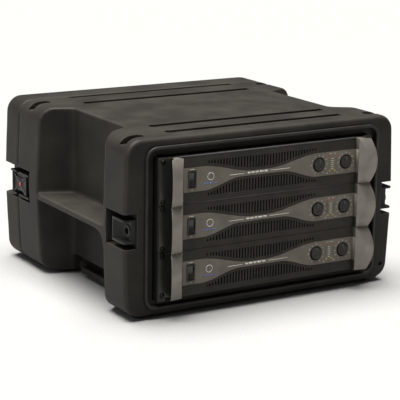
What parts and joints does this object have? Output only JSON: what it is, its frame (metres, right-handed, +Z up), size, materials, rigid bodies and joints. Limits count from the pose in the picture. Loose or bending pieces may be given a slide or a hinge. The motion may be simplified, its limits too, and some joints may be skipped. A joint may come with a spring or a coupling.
{
  "type": "rack case with power amplifiers",
  "caption": "Black moulded rack case with its front lid off and its latched rear lid on, holding stacked rack power amplifiers with leaning silver handles.",
  "frame": {"origin": "middle of the base of the whole part, on the plane the feet stand on", "axes": "+X to the right seen from the front, +Y to the back, +Z up; the amplifier panels face -Y"},
  "size_m": [0.616, 0.5838, 0.3445],
  "materials": {
    "polyethylene": "rotationally moulded, fine pebbled skin",
    "lip_plastic": "moulded, satin",
    "rubber": "moulded rubber",
    "rail_steel": "black powder coat",
    "nylon": "injection moulded, fine grain",
    "panel_plastic": "dark grey, fine grain",
    "band_plastic": "warm grey, satin",
    "silver_paint": "silver paint, satin",
    "knob_plastic": "satin black",
    "zinc_sheet": "zinc plated sheet",
    "board": "solder resist",
    "winding": "varnished winding wire",
    "heatsink_alloy": "extruded, plain"
  },
  "bodies": {
    "case": {"case_shell": "polyethylene", "front_lip": "lip_plastic", "foot_front_left": "rubber", "foot_front_right": "rubber", "foot_rear_left": "rubber", "foot_rear_right": "rubber", "rack_rail_front_left": "rail_steel", "rack_rail_front_right": "rail_steel", "rack_rail_rear_left": "rail_steel", "rack_rail_rear_right": "rail_steel", "keeper_front_left": "nylon", "keeper_front_right": "nylon", "keeper_rear_left": "nylon", "keeper_rear_right": "nylon", "amp1_front_panel": "panel_plastic", "amp1_wave_band": "band_plastic", "amp1_handle_left": "silver_paint", "amp1_handle_right": "silver_paint", "amp1_chassis_tray": "zinc_sheet", "amp1_top_cover": "zinc_sheet", "amp1_circuit_board": "board", "amp1_transformer": "winding", "amp1_heatsink": "heatsink_alloy", "amp2_front_panel": "panel_plastic", "amp2_wave_band": "band_plastic", "amp2_handle_left": "silver_paint", "amp2_handle_right": "silver_paint", "amp2_chassis_tray": "zinc_sheet", "amp2_top_cover": "zinc_sheet", "amp2_circuit_board": "board", "amp2_transformer": "winding", "amp2_heatsink": "heatsink_alloy", "amp3_front_panel": "panel_plastic", "amp3_wave_band": "band_plastic", "amp3_handle_left": "silver_paint", "amp3_handle_right": "silver_paint", "amp3_chassis_tray": "zinc_sheet", "amp3_top_cover": "zinc_sheet", "amp3_circuit_board": "board", "amp3_transformer": "winding", "amp3_heatsink": "heatsink_alloy"},
    "rear_lid": {"rear_lid": "polyethylene", "latch_base_left": "nylon", "latch_base_right": "nylon"},
    "latch_lever_left": {"latch_lever_left": "nylon"},
    "latch_lever_right": {"latch_lever_right": "nylon"},
    "amp1_gain_knob_1": {"amp1_gain_knob_1": "knob_plastic"},
    "amp1_gain_knob_2": {"amp1_gain_knob_2": "knob_plastic"},
    "amp1_power_rocker": {"amp1_power_rocker": "knob_plastic"},
    "amp1_fan_rotor": {"amp1_fan_rotor": "knob_plastic"},
    "amp2_gain_knob_1": {"amp2_gain_knob_1": "knob_plastic"},
    "amp2_gain_knob_2": {"amp2_gain_knob_2": "knob_plastic"},
    "amp2_power_rocker": {"amp2_power_rocker": "knob_plastic"},
    "amp2_fan_rotor": {"amp2_fan_rotor": "knob_plastic"},
    "amp3_gain_knob_1": {"amp3_gain_knob_1": "knob_plastic"},
    "amp3_gain_knob_2": {"amp3_gain_knob_2": "knob_plastic"},
    "amp3_power_rocker": {"amp3_power_rocker": "knob_plastic"},
    "amp3_fan_rotor": {"amp3_fan_rotor": "knob_plastic"}
  },
  "joints": [
    {"name": "rear_lid_slide", "type": "slide", "parent": "case", "child": "rear_lid", "axis": [0, 1, 0], "range_m": [0, 0.12]},
    {"name": "latch_left_hinge", "type": "hinge", "parent": "rear_lid", "child": "latch_lever_left", "pos_m": [-0.303, 0.2419, 0.1703], "axis": [0, 0, -1], "range_deg": [0, 110]},
    {"name": "latch_right_hinge", "type": "hinge", "parent": "rear_lid", "child": "latch_lever_right", "pos_m": [0.303, 0.2419, 0.1703], "axis": [0, 0, 1], "range_deg": [0, 110]},
    {"name": "amp1_gain_1_turn", "type": "hinge", "parent": "case", "child": "amp1_gain_knob_1", "pos_m": [0.1115, -0.2649, 0.26355], "axis": [0, -1, 0], "range_deg": [-150, 150]},
    {"name": "amp1_gain_2_turn", "type": "hinge", "parent": "case", "child": "amp1_gain_knob_2", "pos_m": [0.175, -0.2649, 0.26355], "axis": [0, -1, 0], "range_deg": [-150, 150]},
    {"name": "amp1_power_switch", "type": "hinge", "parent": "case", "child": "amp1_power_rocker", "pos_m": [-0.1742, -0.2614, 0.26355], "axis": [1, 0, 0], "range_deg": [0, 18]},
    {"name": "amp1_fan_spin", "type": "hinge", "parent": "case", "child": "amp1_fan_rotor", "pos_m": [0.12, 0.0634, 0.26355], "axis": [0, 1, 0], "continuous": true},
    {"name": "amp2_gain_1_turn", "type": "hinge", "parent": "case", "child": "amp2_gain_knob_1", "pos_m": [0.1115, -0.2649, 0.17465], "axis": [0, -1, 0], "range_deg": [-150, 150]},
    {"name": "amp2_gain_2_turn", "type": "hinge", "parent": "case", "child": "amp2_gain_knob_2", "pos_m": [0.175, -0.2649, 0.17465], "axis": [0, -1, 0], "range_deg": [-150, 150]},
    {"name": "amp2_power_switch", "type": "hinge", "parent": "case", "child": "amp2_power_rocker", "pos_m": [-0.1742, -0.2614, 0.17465], "axis": [1, 0, 0], "range_deg": [0, 18]},
    {"name": "amp2_fan_spin", "type": "hinge", "parent": "case", "child": "amp2_fan_rotor", "pos_m": [0.12, 0.0634, 0.17465], "axis": [0, 1, 0], "continuous": true},
    {"name": "amp3_gain_1_turn", "type": "hinge", "parent": "case", "child": "amp3_gain_knob_1", "pos_m": [0.1115, -0.2649, 0.08575], "axis": [0, -1, 0], "range_deg": [-150, 150]},
    {"name": "amp3_gain_2_turn", "type": "hinge", "parent": "case", "child": "amp3_gain_knob_2", "pos_m": [0.175, -0.2649, 0.08575], "axis": [0, -1, 0], "range_deg": [-150, 150]},
    {"name": "amp3_power_switch", "type": "hinge", "parent": "case", "child": "amp3_power_rocker", "pos_m": [-0.1742, -0.2614, 0.08575], "axis": [1, 0, 0], "range_deg": [0, 18]},
    {"name": "amp3_fan_spin", "type": "hinge", "parent": "case", "child": "amp3_fan_rotor", "pos_m": [0.12, 0.0634, 0.08575], "axis": [0, 1, 0], "continuous": true}
  ]
}
